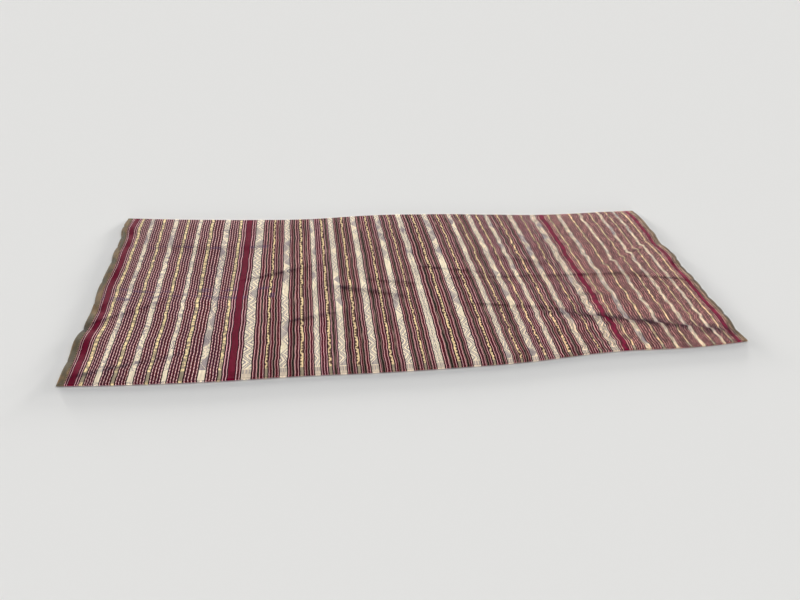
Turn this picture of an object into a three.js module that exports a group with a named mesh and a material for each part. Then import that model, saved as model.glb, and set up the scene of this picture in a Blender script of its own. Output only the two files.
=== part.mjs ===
// A striped tube skirt, lying flat: one woven tube in two layers, with a plain strip sewn round each mouth.
// Millimetres, +Z up. X runs from the left mouth to the right one, Y from the near fold to the far one.
import * as THREE from "three";

// Driving sizes
const LENGTH = 1242; // mouth to mouth, with both strips
const WIDTH = 550; // near fold to far fold, at the mouths
const CLOTH_THICK = 1.2;
const LAYER_GAP = 1.4; // air between the two layers where they lie closest
const LEFT_STRIP = 10.5; // width of the left strip, from the woven cloth to the mouth
const RIGHT_STRIP = 7.5; // the right strip is turned in further, so less of it shows
const SEAM_GAP = 0.3; // between a strip and the cloth it is sewn to
const MOUTH_REACH = 70; // how far in from a mouth its waviness dies out

// Steps of the mesh along the cloth and strips, and round the flattened section
const CLOTH_STEPS = 40;
const STRIP_STEPS = 2;
const TOP_STEPS = 48;
const UNDER_STEPS = 3;
const FOLD_STEPS = 4;

// How far the near fold bows out of the straight line between its ends, at shares of the length
const NEAR_FOLD = [
  { at: 0, out: 0 },
  { at: 0.12, out: 10 },
  { at: 0.3, out: 15 },
  { at: 0.52, out: 21 },
  { at: 0.62, out: 19 },
  { at: 0.8, out: 6 },
  { at: 0.87, out: 9 },
  { at: 1, out: 2 },
];

// The same for the far fold, where the cloth is mostly drawn in
const FAR_FOLD = [
  { at: 0, out: 2 },
  { at: 0.15, out: -11 },
  { at: 0.24, out: -15 },
  { at: 0.31, out: -15 },
  { at: 0.44, out: 0 },
  { at: 0.54, out: 2 },
  { at: 0.68, out: -4 },
  { at: 0.8, out: -9 },
  { at: 0.92, out: 1 },
  { at: 1, out: 6 },
];

// How far each mouth stands out of its straight line, at shares of the width from the near fold
const LEFT_MOUTH = [
  { at: 0, out: -1 },
  { at: 0.12, out: -0.5 },
  { at: 0.22, out: 1 },
  { at: 0.29, out: -3 },
  { at: 0.4, out: -2 },
  { at: 0.52, out: 2 },
  { at: 0.62, out: 0 },
  { at: 0.74, out: 3 },
  { at: 0.84, out: 3 },
  { at: 0.91, out: 8 },
  { at: 1, out: 5 },
];
const RIGHT_MOUTH = [
  { at: 0, out: -1 },
  { at: 0.07, out: -4 },
  { at: 0.14, out: 1 },
  { at: 0.26, out: -1 },
  { at: 0.4, out: 1 },
  { at: 0.52, out: -1 },
  { at: 0.61, out: 4 },
  { at: 0.7, out: -5 },
  { at: 0.77, out: 1 },
  { at: 0.85, out: 0 },
  { at: 0.91, out: 2 },
  { at: 1, out: -5 },
];

// Ridges that the upper layer stands up in. Each runs between two places given as shares of the length from
// the left mouth and of the width from the near fold. It falls off over nearSpread and farSpread to its sides.
const RIDGES = [
  { fromAlong: -0.04, fromAcross: 0.0, toAlong: 0.17, toAcross: 0.13, height: 1, nearSpread: 9, farSpread: 24 },
  { fromAlong: -0.03, fromAcross: 0.24, toAlong: 0.14, toAcross: 0.45, height: 0.9, nearSpread: 10, farSpread: 28 },
  { fromAlong: 0.03, fromAcross: 0.79, toAlong: 0.25, toAcross: 0.75, height: 1, nearSpread: 26, farSpread: 34 },
  { fromAlong: 0.19, fromAcross: 0.5, toAlong: 0.34, toAcross: 0.61, height: 1, nearSpread: 9, farSpread: 28 },
  { fromAlong: 0.25, fromAcross: 0.235, toAlong: 0.38, toAcross: 0.3, height: 0.8, nearSpread: 11, farSpread: 26 },
  { fromAlong: 0.33, fromAcross: 0.47, toAlong: 0.48, toAcross: 0.36, height: 1.2, nearSpread: 9, farSpread: 26 },
  { fromAlong: 0.39, fromAcross: 0.5, toAlong: 0.51, toAcross: 0.44, height: 0.8, nearSpread: 9, farSpread: 24 },
  { fromAlong: 0.48, fromAcross: 0.58, toAlong: 0.63, toAcross: 0.5, height: 0.8, nearSpread: 11, farSpread: 28 },
  { fromAlong: 0.46, fromAcross: 0.48, toAlong: 1.1, toAcross: 0.475, height: 1, nearSpread: 8, farSpread: 24 },
  { fromAlong: 0.58, fromAcross: 0.68, toAlong: 0.76, toAcross: 0.54, height: 0.9, nearSpread: 11, farSpread: 26 },
  { fromAlong: 0.53, fromAcross: 0.325, toAlong: 0.79, toAcross: 0.24, height: 1.2, nearSpread: 9, farSpread: 36 },
  { fromAlong: 0.7, fromAcross: 0.232, toAlong: 1.08, toAcross: 0.0, height: 2.4, nearSpread: 7, farSpread: 42 },
  { fromAlong: 0.82, fromAcross: 0.49, toAlong: 1.0, toAcross: 0.75, height: 0.8, nearSpread: 9, farSpread: 17 },
  { fromAlong: 0.85, fromAcross: 0.47, toAlong: 1.05, toAcross: 0.37, height: 1, nearSpread: 9, farSpread: 22 },
];
const RIDGE_TAPER = 0.3; // share of a ridge's length over which each end sinks away

const MATERIALS = {
  weave: new THREE.MeshStandardMaterial({ color: 0x74404a, roughness: 0.95, metalness: 0 }),
  strip: new THREE.MeshStandardMaterial({ color: 0x6e6650, roughness: 0.95, metalness: 0 }),
};

const { lerp, smoothstep } = THREE.MathUtils;

// The smooth curve through a table of places along an edge
function curveThrough(rows) {
  const places = rows.map((row) => row.at);
  const reaches = rows.map((row) => row.out);
  const curve = new THREE.CubicInterpolant(places, reaches, 1);
  return (at) => curve.evaluate(THREE.MathUtils.clamp(at, 0, 1))[0];
}

const nearOut = curveThrough(NEAR_FOLD);
const farOut = curveThrough(FAR_FOLD);
const leftOut = curveThrough(LEFT_MOUTH);
const rightOut = curveThrough(RIGHT_MOUTH);

// Height that one ridge adds at a place on the cloth
function ridgeHeight(ridge, x, y) {
  const start = new THREE.Vector2(ridge.fromAlong * LENGTH, ridge.fromAcross * WIDTH);
  const run = new THREE.Vector2(ridge.toAlong * LENGTH, ridge.toAcross * WIDTH).sub(start);
  const reach = new THREE.Vector2(x, y).sub(start);
  const share = reach.dot(run) / run.lengthSq();
  const aside = run.cross(reach) / run.length();
  const spread = aside > 0 ? ridge.farSpread : ridge.nearSpread;
  const taper = smoothstep(share, 0, RIDGE_TAPER) * smoothstep(1 - share, 0, RIDGE_TAPER);
  return ridge.height * taper * Math.exp(-((aside / spread) ** 2));
}

function lift(x, y) {
  return RIDGES.reduce((sum, ridge) => sum + ridgeHeight(ridge, x, y), 0);
}

// Places round the flattened section, in order: the upper layer, the far fold, the lower layer, the near fold.
// across is the share of the width, and side and rise point outwards from the section's core line.
function sectionPlaces() {
  const places = [];
  const layer = (steps, rise) => {
    for (let i = 0; i < steps; i += 1) {
      const share = i / steps;
      places.push({ across: rise > 0 ? share : 1 - share, side: 0, rise });
    }
  };
  const fold = (across, firstRise) => {
    for (let i = 0; i < FOLD_STEPS; i += 1) {
      const turn = (Math.PI * i) / FOLD_STEPS;
      const side = (across > 0 ? 1 : -1) * Math.sin(turn);
      places.push({ across, side, rise: firstRise * Math.cos(turn) });
    }
  };
  layer(TOP_STEPS, 1);
  fold(1, 1);
  layer(UNDER_STEPS, -1);
  fold(0, -1);
  return places;
}

const SECTION = sectionPlaces();
const OUTER_ROUND = CLOTH_THICK + LAYER_GAP / 2; // radius of a fold's outside
const INNER_ROUND = LAYER_GAP / 2;

// Where a place on the tube lies once the tube is pressed flat
function lyingPoint(along, place, round) {
  const share = along / LENGTH;
  const near = OUTER_ROUND - nearOut(share);
  const far = WIDTH + farOut(share) - OUTER_ROUND;
  const y = lerp(near, far, place.across) + place.side * round;
  const upper = (1 + place.rise) / 2;
  const leftPull = 1 - smoothstep(along, LEFT_STRIP, MOUTH_REACH);
  const rightPull = 1 - smoothstep(LENGTH - along, RIGHT_STRIP, MOUTH_REACH);
  const x = along - leftOut(place.across) * leftPull + rightOut(place.across) * rightPull;
  const z = OUTER_ROUND + place.rise * round + upper * lift(x, y);
  return new THREE.Vector3(x, y, z);
}

// A length of the tube: a round sleeve with a closed wall, turned about its axis and then pressed flat
function flattenedTube(name, start, end, steps, material) {
  const wall = [];
  for (let i = 0; i <= steps; i += 1) wall.push({ along: lerp(start, end, i / steps), round: INNER_ROUND });
  for (let i = steps; i >= 0; i -= 1) wall.push({ along: lerp(start, end, i / steps), round: OUTER_ROUND });
  wall.push(wall[0]);
  const profile = wall.map((point) => new THREE.Vector2(point.round, point.along));
  const geometry = new THREE.LatheGeometry(profile, SECTION.length);
  const position = geometry.getAttribute("position");
  for (let i = 0; i < position.count; i += 1) {
    const place = SECTION[Math.floor(i / wall.length) % SECTION.length];
    const point = wall[i % wall.length];
    position.setXYZ(i, ...lyingPoint(point.along, place, point.round));
  }
  geometry.computeVertexNormals();
  const mesh = new THREE.Mesh(geometry, material);
  mesh.name = name;
  return mesh;
}

const clothStart = LEFT_STRIP + SEAM_GAP / 2;
const clothEnd = LENGTH - RIGHT_STRIP - SEAM_GAP / 2;
const leftEnd = LEFT_STRIP - SEAM_GAP / 2;
const rightStart = LENGTH - RIGHT_STRIP + SEAM_GAP / 2;

const skirt = new THREE.Group();
skirt.add(flattenedTube("woven_tube", clothStart, clothEnd, CLOTH_STEPS, MATERIALS.weave));
skirt.add(flattenedTube("left_edge_binding", 0, leftEnd, STRIP_STEPS, MATERIALS.strip));
skirt.add(flattenedTube("right_edge_binding", rightStart, LENGTH, STRIP_STEPS, MATERIALS.strip));

// The origin is under the middle of the whole skirt
const middle = new THREE.Box3().setFromObject(skirt).getCenter(new THREE.Vector3());
skirt.children.forEach((mesh) => mesh.position.set(-middle.x, -middle.y, 0));

export default skirt;
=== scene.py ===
# %% [markdown]
# # A striped tube skirt, laid flat
#
# The object is an old hand-woven skirt: one length of cotton cloth sewn into a tube, and laid on the
# floor so that the tube is pressed flat. Narrow stripes run across it. Some are plain, some are dashed
# lines, and some carry small woven figures. A plain olive strip is sewn round each open end.
#
# The lesson goes from the outside in: first the camera and the light, then the lie of the cloth with
# its folds and creases, then the stripes and figures as one node material, and last the strips and
# their sewing.

# %% Load the frame that the skirt is fitted to
import math
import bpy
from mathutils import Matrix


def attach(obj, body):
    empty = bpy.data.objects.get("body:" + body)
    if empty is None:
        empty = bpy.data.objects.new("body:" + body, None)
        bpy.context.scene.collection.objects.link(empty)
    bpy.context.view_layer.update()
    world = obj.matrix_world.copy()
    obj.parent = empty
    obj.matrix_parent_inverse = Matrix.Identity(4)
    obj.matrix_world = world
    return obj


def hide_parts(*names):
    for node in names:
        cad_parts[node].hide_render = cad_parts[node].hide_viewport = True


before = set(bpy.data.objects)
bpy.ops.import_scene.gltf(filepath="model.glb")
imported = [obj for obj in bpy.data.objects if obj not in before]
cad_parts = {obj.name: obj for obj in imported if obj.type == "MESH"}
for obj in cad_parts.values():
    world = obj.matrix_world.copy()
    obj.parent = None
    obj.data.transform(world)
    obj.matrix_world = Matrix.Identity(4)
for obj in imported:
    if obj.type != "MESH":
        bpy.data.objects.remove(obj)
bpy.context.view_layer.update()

from types import SimpleNamespace

import bpy
import numpy as np
from mathutils import Matrix, Vector, noise

MM = 0.001

# %% [markdown]
# ## The camera
#
# The skirt is seen from the front, a little left of its middle, from about 35 degrees above the floor.
# The camera was held slightly tilted, so the right end of the skirt stands higher in the picture than
# the left. Blender can aim a camera with a constraint, but a constraint can't hold a roll. Here the
# three directions of the camera are worked out from its angles instead, and set as one matrix.

# %% Place the camera
CAMERA_PLACE = Vector((-0.2007, -1.1083, 0.7423))
LOOK_DOWN = math.radians(34.905)
LOOK_RIGHT = math.radians(15.805)
CAMERA_ROLL = math.radians(6.622)
LENS_MM = 28.46
SENSOR_MM = 36.0
CAMERA_SHIFT = -0.0875
CLIP_FAR = 200.0
PICTURE = (800, 600)


def camera_axes():
    """The camera's right, up and forward directions."""
    forward = Vector((math.sin(LOOK_RIGHT), math.cos(LOOK_RIGHT), -math.tan(LOOK_DOWN))).normalized()
    level = Vector((math.cos(LOOK_RIGHT), -math.sin(LOOK_RIGHT), 0))
    upright = level.cross(forward)
    right = level * math.cos(CAMERA_ROLL) + upright * math.sin(CAMERA_ROLL)
    up = upright * math.cos(CAMERA_ROLL) - level * math.sin(CAMERA_ROLL)
    return right, up, forward


def picture_point(point):
    """Where a point of the frame falls in the picture, in pixels from its top left corner."""
    right, up, forward = camera_axes()
    reach = Vector(point) - CAMERA_PLACE
    focal = LENS_MM / SENSOR_MM * PICTURE[0] / reach.dot(forward)
    across = PICTURE[0] * (0.5 - CAMERA_SHIFT) + focal * reach.dot(right)
    return round(across), round(PICTURE[1] / 2 - focal * reach.dot(up))


def add_object(name, data):
    """Puts a mesh, a lamp or a camera into the scene."""
    made = bpy.data.objects.new(name, data)
    bpy.context.scene.collection.objects.link(made)
    return made


def add_camera():
    right, up, forward = camera_axes()
    data = bpy.data.cameras.new("camera")
    data.lens = LENS_MM
    data.sensor_width = SENSOR_MM
    data.shift_x = CAMERA_SHIFT
    data.clip_end = CLIP_FAR
    camera = add_object("camera", data)
    turn = Matrix((right, up, -forward)).transposed()
    camera.matrix_world = Matrix.Translation(CAMERA_PLACE) @ turn.to_4x4()
    bpy.context.scene.camera = camera


add_camera()
print("the origin falls at pixel", picture_point((0, 0, 0)))

# %% [markdown]
# ## Shader maths in Python
#
# A node material is a drawing of a sum. Written out by hand, every plus and times takes several lines,
# so this lesson wraps a socket in a small class. An operator on a wrapped socket adds the Math node
# that it stands for. The reflected forms are there too, so that `1 - mask` works. Colours go through
# Mix nodes, because a Math node would turn them grey. Any other node comes from the one method `node`.

# %% The socket wrapper


class Wire:
    """A socket of a material. Python's operators on it add Math nodes."""

    def __init__(self, tree, socket=None):
        self.tree = tree
        self.socket = socket

    def node(self, kind, settings=None, inputs=None, output=0):
        """Adds a node: first its settings, then the values or links of its sockets."""
        made = self.tree.nodes.new(kind)
        for name, value in (settings or {}).items():
            setattr(made, name, value)
        for name, value in (inputs or {}).items():
            if isinstance(value, Wire):
                self.tree.links.new(value.socket, made.inputs[name])
            else:
                made.inputs[name].default_value = value
        return Wire(self.tree, made.outputs[output])

    def maths(self, operation, *values):
        return self.node("ShaderNodeMath", {"operation": operation}, dict(enumerate((self, *values))))

    def flipped(self, operation, value):
        return self.node("ShaderNodeMath", {"operation": operation}, {0: value, 1: self})

    def __add__(self, other):
        return self.maths("ADD", other)

    __radd__ = __add__

    def __sub__(self, other):
        return self.maths("SUBTRACT", other)

    def __rsub__(self, other):
        return self.flipped("SUBTRACT", other)

    def __mul__(self, other):
        return self.maths("MULTIPLY", other)

    __rmul__ = __mul__

    def __truediv__(self, other):
        return self.maths("DIVIDE", other)

    def __lt__(self, other):
        return self.maths("LESS_THAN", other)

    def __gt__(self, other):
        return self.maths("GREATER_THAN", other)

    def __abs__(self):
        return self.maths("ABSOLUTE")

    def blend(self, first, second):
        """The colour that goes from first to second as this value goes from 0 to 1."""
        return self.node("ShaderNodeMix", {"data_type": "RGBA"}, {0: self, 6: first, 7: second}, output=2)

    def smooth(self, low, high):
        """0 below low, 1 above high, and an even curve between."""
        inputs = {"Value": self, "From Min": low, "From Max": high}
        return self.node("ShaderNodeMapRange", {"interpolation_type": "SMOOTHSTEP"}, inputs)


def linear(red, green, blue):
    """A colour as the eye names it, 0 to 255, turned into the light values that Blender works with."""
    shares = np.array((red, green, blue)) / 255
    light = np.where(shares <= 0.04045, shares / 12.92, ((shares + 0.055) / 1.055) ** 2.4)
    return (*light.tolist(), 1.0)


def start_finish(name, colour, roughness, shine):
    """A new material with what is even all over it. Returns the material, an empty wire and the shader."""
    material = bpy.data.materials.new(name)
    material.use_nodes = True
    shader = material.node_tree.nodes["Principled BSDF"]
    shader.inputs["Base Color"].default_value = colour
    shader.inputs["Roughness"].default_value = roughness
    shader.inputs["Specular IOR Level"].default_value = shine
    return material, Wire(material.node_tree), shader


def feed(wire, shader, socket):
    wire.tree.links.new(wire.socket, shader.inputs[socket])


print("maths on sockets is ready")

# %% [markdown]
# ## Floor and light
#
# The picture has an even, pale ground with no corner or horizon. A wide plane gives that, as long as
# the light falls on it evenly, so sun lamps and a plain sky are better here than small lamps. The main
# sun stands behind the skirt and is made very wide, like a large window. Then the sides of the creases
# that face the viewer are softly dark, and the folds that face away are light. Weaker suns stand low
# behind the left and right ends. Cloth is only a few millimetres high, so only such low light gives it
# a soft shadow that can be seen. The lowest pair draws the shadow out thinly, and a faint light from
# the front keeps the near fold from going black.

# %% Add the floor, the suns and the sky
FLOOR_SIZE = 40.0
FLOOR_COLOUR = (0.80, 0.80, 0.79, 1.0)
FLOOR_LIGHT = 0.753
SUN_COLOUR = (1.02, 1.0, 0.965)
# name, share of the floor's light, degrees up, degrees to the right of straight behind, degrees wide
SUNS = [
    ("main_sun", 0.36, 46, 40, 30),
    ("low_right_sun", 0.10, 6, 50, 9),
    ("low_left_sun", 0.10, 6, -46, 9),
    ("lowest_right_sun", 0.085, 2.2, 30, 3.6),
    ("lowest_left_sun", 0.085, 2.2, -30, 3.6),
    ("front_sun", 0.08, 22, 180, 40),
    ("low_front_sun", 0.045, 3, 180, 5),
]
SKY_COLOUR = (0.88, 0.96, 1.12, 1.0)
SKY_SHARE = 0.155


def add_floor():
    half = FLOOR_SIZE / 2
    mesh = bpy.data.meshes.new("floor")
    corners = [(-half, -half, 0), (half, -half, 0), (half, half, 0), (-half, half, 0)]
    mesh.from_pydata(corners, [], [(0, 1, 2, 3)])
    floor = add_object("floor", mesh)
    mesh.materials.append(start_finish("pale_floor", FLOOR_COLOUR, 1.0, 0.0)[0])
    return floor


def add_sun(name, share, height, aside, wide):
    height, aside = math.radians(height), math.radians(aside)
    data = bpy.data.lights.new(name, "SUN")
    data.energy = share * FLOOR_LIGHT / FLOOR_COLOUR[0] * math.pi / math.sin(height)
    data.angle = math.radians(wide)
    data.color = SUN_COLOUR
    towards = Vector((math.sin(aside), math.cos(aside), math.tan(height)))
    add_object(name, data).rotation_euler = towards.to_track_quat("Z", "Y").to_euler()


def add_sky():
    world = bpy.data.worlds.new("even_sky")
    world.use_nodes = True
    sky = world.node_tree.nodes["Background"]
    sky.inputs["Color"].default_value = SKY_COLOUR
    sky.inputs["Strength"].default_value = SKY_SHARE * FLOOR_LIGHT / FLOOR_COLOUR[0]
    bpy.context.scene.world = world


floor = add_floor()
for sun_row in SUNS:
    add_sun(*sun_row)
add_sky()
bpy.context.scene.view_settings.view_transform = "Standard"
print("floor", floor.dimensions[:], "suns", [row[0] for row in SUNS])

# %% [markdown]
# ## The outline of the skirt
#
# A flat tube has two folds, the near and the far edge, and two open mouths, the ends. None of them is
# straight: the near fold bows out, the far fold is drawn in, and the mouths waver. Each edge is a short
# table of places along it and how far it stands out there, in millimetres, and a smooth curve goes
# through the rows. The same few rows can be changed by hand to lay the skirt another way.

# %% Edge tables and the curve through them
# sizes of the lying skirt, in millimetres
LENGTH = 1242.0
WIDTH = 550.0
LEFT_STRIP = 10.5
RIGHT_STRIP = 7.5
SEAM_GAP = 0.3
CLOTH_THICK = 1.2
LAYER_GAP = 1.4
MOUTH_REACH = 70.0
# where the frame's origin lies, from the left mouth and from the near fold
ORIGIN = (618.99, 267.49)

NEAR_FOLD = [(0, 0), (0.12, 10), (0.3, 15), (0.52, 21), (0.62, 19), (0.8, 6), (0.87, 9), (1, 2)]
FAR_FOLD = [
    (0, 2), (0.15, -11), (0.24, -15), (0.31, -15), (0.44, 0),
    (0.54, 2), (0.68, -4), (0.8, -9), (0.92, 1), (1, 6),
]
LEFT_MOUTH = [
    (0, -1), (0.12, -0.5), (0.22, 1), (0.29, -3), (0.4, -2), (0.52, 2),
    (0.62, 0), (0.74, 3), (0.84, 3), (0.91, 8), (1, 5),
]
RIGHT_MOUTH = [
    (0, -1), (0.07, -4), (0.14, 1), (0.26, -1), (0.4, 1), (0.52, -1),
    (0.61, 4), (0.7, -5), (0.77, 1), (0.85, 0), (0.91, 2), (1, -5),
]


def curve_through(rows):
    """The smooth curve through a table of (place, value) rows."""
    at, value = np.array(rows, float).T
    slope = np.gradient(value, at)

    def curve(places):
        places = np.clip(places, at[0], at[-1])
        row = np.clip(np.searchsorted(at, places, "right") - 1, 0, len(at) - 2)
        step = at[row + 1] - at[row]
        t = (places - at[row]) / step
        start = value[row] + t * step * slope[row]
        end = value[row + 1] - (1 - t) * step * slope[row + 1]
        ease = t * t * (3 - 2 * t)
        return start + (end - start) * ease

    return curve


near_out = curve_through(NEAR_FOLD)
far_out = curve_through(FAR_FOLD)
left_out = curve_through(LEFT_MOUTH)
right_out = curve_through(RIGHT_MOUTH)


def smoothstep(value, low, high):
    t = np.clip((value - low) / (high - low), 0, 1)
    return t * t * (3 - 2 * t)


print("the near fold bows out by", float(near_out(0.52)), "mm at most")

# %% [markdown]
# ## Creases
#
# The lower layer lies flat on the floor. The upper layer has slipped a little, so it stands up in low
# ridges that run mostly along the skirt. Cloth simulation makes such ridges too, but not in the places
# of this skirt, so they are listed: each row says where a ridge starts and ends, how high it
# is, and how far it falls off to its near and far sides. The near sides are steep, which is what shows
# as a dark line.
#
# A handful of ridges alone would look ironed, so smooth noise adds low swells and small crumples
# between them.

# %% The ridge table and the height of the upper layer
# from_along, from_across, to_along, to_across in shares of the length and the width,
# then height, near_spread and far_spread in millimetres, and the strength of the painted crease shade from 0
# to 1
RIDGES = [
    (-0.04, 0.0, 0.17, 0.13, 0.15, 5, 22, 0.8),
    (-0.03, 0.24, 0.14, 0.45, 0.4, 5, 26, 0.7),
    (0.03, 0.79, 0.25, 0.75, 0.6, 24, 32, 0.1),
    (0.19, 0.5, 0.34, 0.61, 0.6, 5, 26, 0.85),
    (0.25, 0.235, 0.38, 0.3, 0.5, 5, 24, 0.8),
    (0.33, 0.47, 0.48, 0.36, 0.7, 5, 26, 0.9),
    (0.39, 0.5, 0.51, 0.44, 0.5, 5, 22, 0.85),
    (0.48, 0.58, 0.63, 0.5, 0.5, 5, 26, 0.75),
    (0.46, 0.48, 0.98, 0.466, 0.4, 5, 24, 0.75),
    (0.58, 0.68, 0.76, 0.54, 0.6, 6, 26, 0.75),
    (0.53, 0.325, 0.76, 0.23, 0.5, 5, 34, 0.6),
    (0.66, 0.262, 1.08, 0.0, 0.5, 7, 34, 1.0),
    (0.82, 0.49, 1.0, 0.75, 0.4, 5, 16, 0.15),
    (0.85, 0.47, 1.05, 0.37, 0.4, 5, 22, 0.75),
]
RIDGE_TAPER = 0.3
FOLD_SHARPNESS = 0.6

# length along, length across, height, seed
CRUMPLES = [(150, 60, 0.28, 3.7), (60, 26, 0.14, 11.2), (34, 13, 0.08, 23.9)]


def smooth_noise(x, y, seed):
    """Blender's own noise at each place, between -1 and 1."""
    spots = np.stack(np.broadcast_arrays(x, y), axis=-1)
    found = [noise.noise((a, b, seed)) for a, b in spots.reshape(-1, 2)]
    return np.array(found).reshape(spots.shape[:-1])


def beside(line, x, y):
    """How far places lie to the far side of a line, and how much of the line's strength reaches them."""
    start = np.array((line[0] * LENGTH, line[1] * WIDTH))
    run = np.array((line[2] * LENGTH, line[3] * WIDTH)) - start
    reach = np.hypot(*run)
    share = ((x - start[0]) * run[0] + (y - start[1]) * run[1]) / reach**2
    aside = ((y - start[1]) * run[0] - (x - start[0]) * run[1]) / reach
    return aside, smoothstep(share, 0, RIDGE_TAPER) * smoothstep(1 - share, 0, RIDGE_TAPER)


def ridge_lift(x, y):
    total = 0
    for *line, height, near_spread, far_spread, _ in RIDGES:
        aside, taper = beside(line, x, y)
        spread = np.where(aside > 0, far_spread, near_spread * FOLD_SHARPNESS)
        total = total + height * taper * np.exp(-((aside / spread) ** 2))
    return total


def crumple_lift(x, y):
    total = 0
    for long_step, cross_step, height, seed in CRUMPLES:
        total = total + height * smooth_noise(x / long_step, y / cross_step, seed)
    return total


print(len(RIDGES), "ridges, the highest", max(row[4] for row in RIDGES), "mm")

# %% [markdown]
# ## Painted crease shade
#
# The dark lines down the steep near sides of the ridges are painted shade: the base colour is darkened
# there, where shade falls. The lines could be drawn in the material, but they have to follow the
# ridges, so they are worked out from the same table. Noise breaks them up and lets them wander, and
# only the strongest one is wide and unbroken.

# %% Where the painted crease shade goes
# a painted shade line's half width in millimetres, and how much a strong one adds to it
FAINT_LINE_HALF = 1.2
STRONG_LINE_EXTRA = 11.8
STRONG_LINE_RISE = 6
# how far down the near side of its ridge a line runs, as a share of that side
LINE_MIDDLE = 0.7
# lines fade in and out: mean strength, its swing, lengths of the swing along and across, seed
LINE_BREAKS = (0.65, 1.3, 30, 14, 87.3)
LEAST_STRENGTH = 0.1
UNBROKEN_STRENGTH = 0.7
UNBROKEN_RISE = 8
# lines wander off their ridge: size, length, seed
LINE_WANDER = (2.5, 40, 92.6)


def shade_down_ridges(x, y):
    """How dark the painted shade lines of the creases are, from 0 to 1. They run down the steep sides of the
    ridges.
    """
    wear_and_shade = np.zeros(np.shape(x))
    mean, swing, long_step, cross_step, seed = LINE_BREAKS
    broken = mean + swing * smooth_noise(x / long_step, y / cross_step, seed)
    broken = np.clip(broken, LEAST_STRENGTH, 1)
    size, step, seed = LINE_WANDER
    wander = size * smooth_noise(x / step, y / step, seed)
    for *line, _, near_spread, _, shade_weight in RIDGES:
        aside, taper = beside(line, x, y + wander)
        middle = -near_spread * FOLD_SHARPNESS * LINE_MIDDLE
        half = FAINT_LINE_HALF + STRONG_LINE_EXTRA * shade_weight**STRONG_LINE_RISE
        kept = np.maximum(broken, shade_weight**UNBROKEN_RISE * UNBROKEN_STRENGTH)
        strength = shade_weight * taper**0.5 * kept
        # painted shade: the base colour is darkened along the near side of each ridge
        wear_and_shade = np.maximum(wear_and_shade, strength * np.exp(-(((aside - middle) / half) ** 2)))
    return wear_and_shade


# the worn lines in this print are the painted crease shade
print("worn lines are", 2 * FAINT_LINE_HALF, "to", 2 * (FAINT_LINE_HALF + STRONG_LINE_EXTRA), "mm wide")

# %% [markdown]
# ## Round the flat tube
#
# Every point of the cloth has a place on the flat tube: how far along it is, and where it is round the
# section. The section of a pressed tube is a long, thin loop: an upper layer, the far fold, a lower
# layer and the near fold. Its places are worked out once, with as many steps on each part as that part
# needs.

# %% Places round the section
OUTER_ROUND = CLOTH_THICK + LAYER_GAP / 2
INNER_ROUND = LAYER_GAP / 2
FOLD_LENGTH = math.pi * OUTER_ROUND
ROUND_LENGTH = 2 * (WIDTH + FOLD_LENGTH)


def section(top_steps, under_steps, fold_steps):
    """Places round the section, as columns: across, side, rise and millimetres round."""
    rows = []
    for i in range(top_steps):
        rows.append((i / top_steps, 0, 1, WIDTH * i / top_steps))
    for i in range(fold_steps):
        turn = math.pi * i / fold_steps
        rows.append((1, math.sin(turn), math.cos(turn), WIDTH + FOLD_LENGTH * i / fold_steps))
    for i in range(under_steps):
        share = i / under_steps
        rows.append((1 - share, 0, -1, WIDTH + FOLD_LENGTH + WIDTH * share))
    for i in range(fold_steps):
        turn = math.pi * i / fold_steps
        start = 2 * WIDTH + FOLD_LENGTH
        rows.append((0, -math.sin(turn), -math.cos(turn), start + FOLD_LENGTH * i / fold_steps))
    return np.array(rows)


print("the loop is", round(ROUND_LENGTH), "mm round")

# %% [markdown]
# ## Stripes that are not quite even
#
# The stripes of the real skirt are not evenly set: near the middle some are pulled apart, and at the
# far fold all of them have drifted to the left. Along two of the creases they jump sideways. All these
# shifts move the mesh, and not the pattern, so the woven lines stay true to the cloth.

# %% Shifts of the stripes
# share of the length, and how far the stripes stand to the right of their even places there
STRIPE_SHIFTS = [
    (0, -1.5), (0.1, -2), (0.21, -3), (0.31, -5.5), (0.4, -7), (0.475, -7.8), (0.498, -9), (0.52, -1.5),
    (0.545, 1), (0.57, 4.5), (0.595, 4), (0.615, -2), (0.64, -1.5), (0.67, -3), (0.695, 0.5), (0.72, 0),
    (0.77, -2), (0.84, -4), (0.9, 2.5), (0.95, 0), (1, -1),
]
# share of the length, and how far the stripes have drifted to the left at the far fold
STRIPE_DRIFTS = [
    (0, 8), (0.06, 8.5), (0.12, 8.5), (0.18, 4.5), (0.3, 4), (0.36, 5.5), (0.43, 7.4),
    (0.54, 10), (0.66, 9.8), (0.72, 7), (0.84, 3), (1, 5.5),
]
# shares of the width where the drift starts and where it is full, its limit and its curve
DRIFT_FROM = 0.2
DRIFT_FULL = 0.96
DRIFT_LIMIT = 1.1
DRIFT_CURVE = 1.6
# length along, length across, size at the left end, more at the right end, seed
WAVERS = [(140, 45, 1.0, 1.5, 31.3), (80, 22, 0.9, 2.4, 53.6), (45, 12, 0.5, 2.2, 71.4)]
WAVER_GROWS = (0.5, 0.9)
# from_along, from_across, to_along, to_across, jump of the stripes, how far it reaches
KINKS = [(0.8, 0.461, 1.02, 0.779, 14, 13), (0.66, 0.256, 1.12, -0.024, 9, 30)]
KINK_HALF = 1.6
# share along, share across, half sizes and shift of places where the stripes bulge aside
BULGES = [(0.23, 0.38, 0.06, 0.13, -3), (0.72, 0.33, 0.04, 0.1, -2.7)]

stripe_shift = curve_through(STRIPE_SHIFTS)
stripe_drift = curve_through(STRIPE_DRIFTS)


def drift(share, across):
    """How far the stripes stand from their even places at a share of the length and of the width."""
    grown = np.clip((across - DRIFT_FROM) / (DRIFT_FULL - DRIFT_FROM), 0, DRIFT_LIMIT)
    return stripe_shift(share) - stripe_drift(share) * grown**DRIFT_CURVE


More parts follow.
